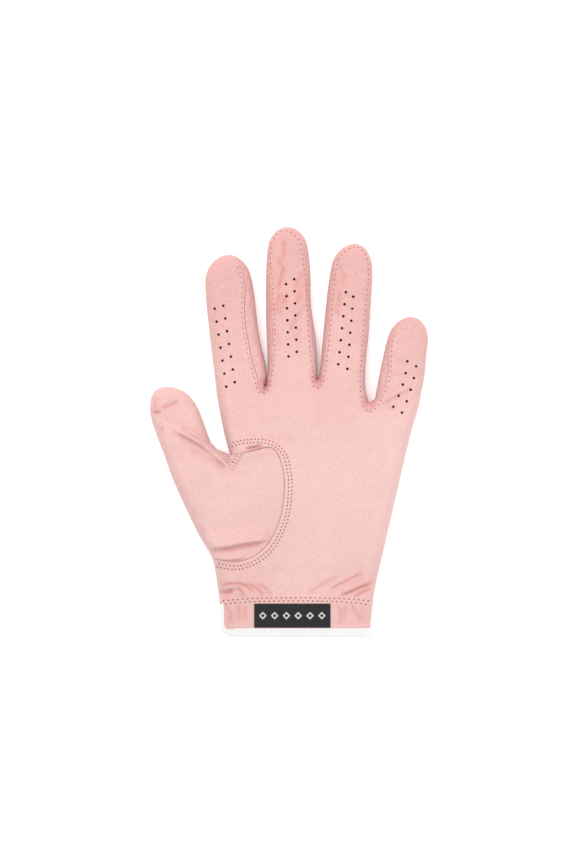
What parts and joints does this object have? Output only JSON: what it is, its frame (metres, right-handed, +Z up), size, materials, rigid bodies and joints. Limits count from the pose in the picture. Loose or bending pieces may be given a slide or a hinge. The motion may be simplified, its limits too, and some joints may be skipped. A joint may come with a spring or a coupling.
{
  "type": "golf glove",
  "caption": "Left-hand leather golf glove lying palm up: open wrist, bending finger and thumb stalls with fourchettes, perforated palm leather, set-in thumb, bound hem and a hook-and-loop tab.",
  "frame": {"origin": "under the middle of the glove's overall box, on the surface that it lies on", "axes": "+Z up, out of the palm; +Y from the wrist to the fingertips; +X towards the little finger"},
  "size_m": [0.1444, 0.2121, 0.0158],
  "materials": {
    "glove_leather": "smooth sheepskin, pale pink, fine grain, satin",
    "fourchette_leather": "thin sheepskin, a little deeper pink",
    "lining": "flesh side of the leather, matte",
    "binding": "white folded tape",
    "label": "black damask woven tape",
    "elastic": "flat woven elastic",
    "loop": "pink napped loop tape",
    "hook": "white hook tape"
  },
  "bodies": {
    "hand": {"palm_panel": "glove_leather", "back_panel": "glove_leather", "thumb_base_palm": "glove_leather", "thumb_base_back": "glove_leather", "keystone_patch": "glove_leather", "wrist_elastic": "elastic", "wrist_label": "label", "palm_hem_binding": "binding", "back_hem_binding": "binding", "loop_patch": "loop", "tab_anchor": "glove_leather", "index_side_fold": "glove_leather", "thumb_web_fold": "glove_leather", "thumb_base_side": "glove_leather", "wrist_thumb_side_fold": "glove_leather", "little_side_fold": "glove_leather", "fourchette_crotches": "fourchette_leather"},
    "index_lower": {"index_lower_palm": "glove_leather", "index_lower_back": "glove_leather", "index_lower_outer_fold": "glove_leather", "index_lower_fourchette": "fourchette_leather"},
    "index_upper": {"index_upper_palm": "glove_leather", "index_upper_back": "glove_leather", "index_upper_outer_fold": "glove_leather", "index_upper_fourchette": "fourchette_leather"},
    "middle_lower": {"middle_lower_palm": "glove_leather", "middle_lower_back": "glove_leather", "middle_lower_fourchette_left": "fourchette_leather", "middle_lower_fourchette_right": "fourchette_leather"},
    "middle_upper": {"middle_upper_palm": "glove_leather", "middle_upper_back": "glove_leather", "middle_upper_fourchette_left": "fourchette_leather", "middle_upper_fourchette_right": "fourchette_leather"},
    "ring_lower": {"ring_lower_palm": "glove_leather", "ring_lower_back": "glove_leather", "ring_lower_fourchette_left": "fourchette_leather", "ring_lower_fourchette_right": "fourchette_leather"},
    "ring_upper": {"ring_upper_palm": "glove_leather", "ring_upper_back": "glove_leather", "ring_upper_fourchette_left": "fourchette_leather", "ring_upper_fourchette_right": "fourchette_leather"},
    "little_lower": {"little_lower_palm": "glove_leather", "little_lower_back": "glove_leather", "little_lower_fourchette": "fourchette_leather", "little_lower_outer_fold": "glove_leather"},
    "little_upper": {"little_upper_palm": "glove_leather", "little_upper_back": "glove_leather", "little_upper_fourchette": "fourchette_leather", "little_upper_outer_fold": "glove_leather"},
    "thumb_lower": {"thumb_lower_palm": "glove_leather", "thumb_lower_back": "glove_leather", "thumb_lower_outer_fold": "glove_leather", "thumb_lower_seam_side": "glove_leather"},
    "thumb_upper": {"thumb_upper_palm": "glove_leather", "thumb_upper_back": "glove_leather", "thumb_upper_outer_fold": "glove_leather", "thumb_upper_seam_side": "glove_leather"},
    "closure_tab": {"closure_tab": "glove_leather", "tab_lining": "lining", "hook_patch": "hook"}
  },
  "joints": [
    {"name": "index_base_bend", "type": "hinge", "parent": "hand", "child": "index_lower", "pos_m": [-0.0244, 0.0198, 0.012], "axis": [0.9936, 0.1132, 0], "range_deg": [0, 60]},
    {"name": "index_middle_bend", "type": "hinge", "parent": "index_lower", "child": "index_upper", "pos_m": [-0.02842, 0.05507, 0.012], "axis": [0.9936, 0.1132, 0], "range_deg": [0, 75]},
    {"name": "middle_base_bend", "type": "hinge", "parent": "hand", "child": "middle_lower", "pos_m": [0.002, 0.0252, 0.012], "axis": [1, 0, 0], "range_deg": [0, 60]},
    {"name": "middle_middle_bend", "type": "hinge", "parent": "middle_lower", "child": "middle_upper", "pos_m": [0.002, 0.0681, 0.012], "axis": [1, 0, 0], "range_deg": [0, 75]},
    {"name": "ring_base_bend", "type": "hinge", "parent": "hand", "child": "ring_lower", "pos_m": [0.0276, 0.0231, 0.012], "axis": [0.9969, -0.0785, 0], "range_deg": [0, 60]},
    {"name": "ring_middle_bend", "type": "hinge", "parent": "ring_lower", "child": "ring_upper", "pos_m": [0.03063, 0.06158, 0.012], "axis": [0.9969, -0.0785, 0], "range_deg": [0, 75]},
    {"name": "little_base_bend", "type": "hinge", "parent": "hand", "child": "little_lower", "pos_m": [0.0564, 0.0144, 0.012], "axis": [0.9763, -0.2164, 0], "range_deg": [0, 60]},
    {"name": "little_middle_bend", "type": "hinge", "parent": "little_lower", "child": "little_upper", "pos_m": [0.0617, 0.03832, 0.012], "axis": [0.9763, -0.2164, 0], "range_deg": [0, 70]},
    {"name": "thumb_base_bend", "type": "hinge", "parent": "hand", "child": "thumb_lower", "pos_m": [-0.0517, -0.0101, 0.012], "axis": [0.9367, 0.3502, 0], "range_deg": [0, 50]},
    {"name": "thumb_middle_bend", "type": "hinge", "parent": "thumb_lower", "child": "thumb_upper", "pos_m": [-0.05695, 0.00395, 0.012], "axis": [0.9367, 0.3502, 0], "range_deg": [0, 60]},
    {"name": "tab_bend", "type": "hinge", "parent": "hand", "child": "closure_tab", "pos_m": [-0.0346, -0.094, 0.001], "axis": [0, 1, 0], "range_deg": [0, 180]}
  ]
}
